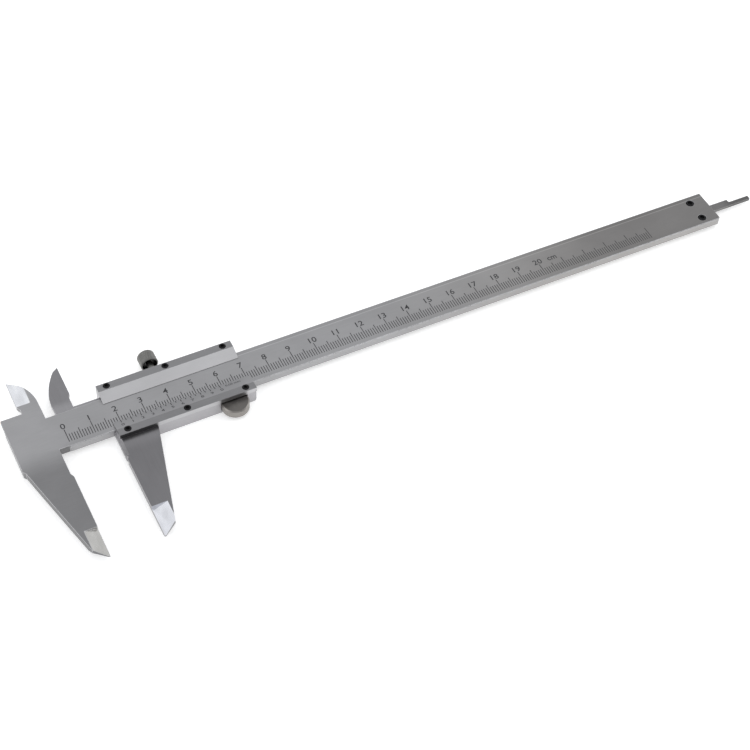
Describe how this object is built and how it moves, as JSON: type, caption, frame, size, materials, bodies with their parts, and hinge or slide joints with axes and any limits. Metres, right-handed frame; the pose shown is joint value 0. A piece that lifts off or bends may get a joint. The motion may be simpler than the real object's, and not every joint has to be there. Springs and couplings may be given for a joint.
{
  "type": "vernier caliper",
  "caption": "Vernier caliper with outside jaws, inside nibs, sliding vernier plate, knurled lock screw, thumb wheel and a depth rod in the beam's back.",
  "frame": {"origin": "middle of the fixed outside jaw's measuring face, at half the beam's thickness", "axes": "+X along the beam, the way the slide opens; +Y across the beam, from the outside jaws towards the inside nibs; +Z out of the engraved front"},
  "size_m": [0.3216, 0.088, 0.0075],
  "materials": {
    "beam_steel": "satin ground",
    "slide_steel": "satin ground",
    "plate_steel": "satin ground",
    "knob_steel": "fine knurl",
    "wheel_steel": "turned",
    "rod_steel": "drawn",
    "screw_black": "black oxide",
    "gib_brass": "flat strip"
  },
  "bodies": {
    "beam_group": {"beam": "beam_steel", "end_stop_plate": "beam_steel", "end_stop_screw_1": "screw_black", "end_stop_screw_2": "screw_black"},
    "slide_group": {"slide_body": "slide_steel", "vernier_plate": "plate_steel", "top_cover_plate": "plate_steel", "vernier_plate_screw_1": "screw_black", "vernier_plate_screw_2": "screw_black", "vernier_plate_screw_3": "screw_black", "cover_plate_screw_1": "screw_black", "cover_plate_screw_2": "screw_black", "cover_plate_screw_3": "screw_black", "gib_strip": "gib_brass", "gib_screw_1": "screw_black", "gib_screw_2": "screw_black", "thumb_wheel_axle": "wheel_steel", "depth_rod": "rod_steel", "depth_rod_rivet_1": "rod_steel", "depth_rod_rivet_2": "rod_steel"},
    "wheel_group": {"thumb_wheel": "wheel_steel"},
    "lock_group": {"lock_screw": "knob_steel"}
  },
  "joints": [
    {"name": "jaw_slide", "type": "slide", "parent": "beam_group", "child": "slide_group", "axis": [1, 0, 0], "range_m": [-0.02, 0.195]},
    {"name": "wheel_spin", "type": "hinge", "parent": "slide_group", "child": "wheel_group", "pos_m": [0.0656, 0.02607, -0.0005], "axis": [0, 0, 1], "range_deg": [-218, 2110]},
    {"name": "lock_turn", "type": "hinge", "parent": "slide_group", "child": "lock_group", "pos_m": [0.0437, 0.059, 0], "axis": [0, 1, 0], "range_deg": [-30, 360]}
  ],
  "couplings": [
    {"joint": "wheel_spin", "follows": "jaw_slide", "rad_per_m": 188}
  ]
}
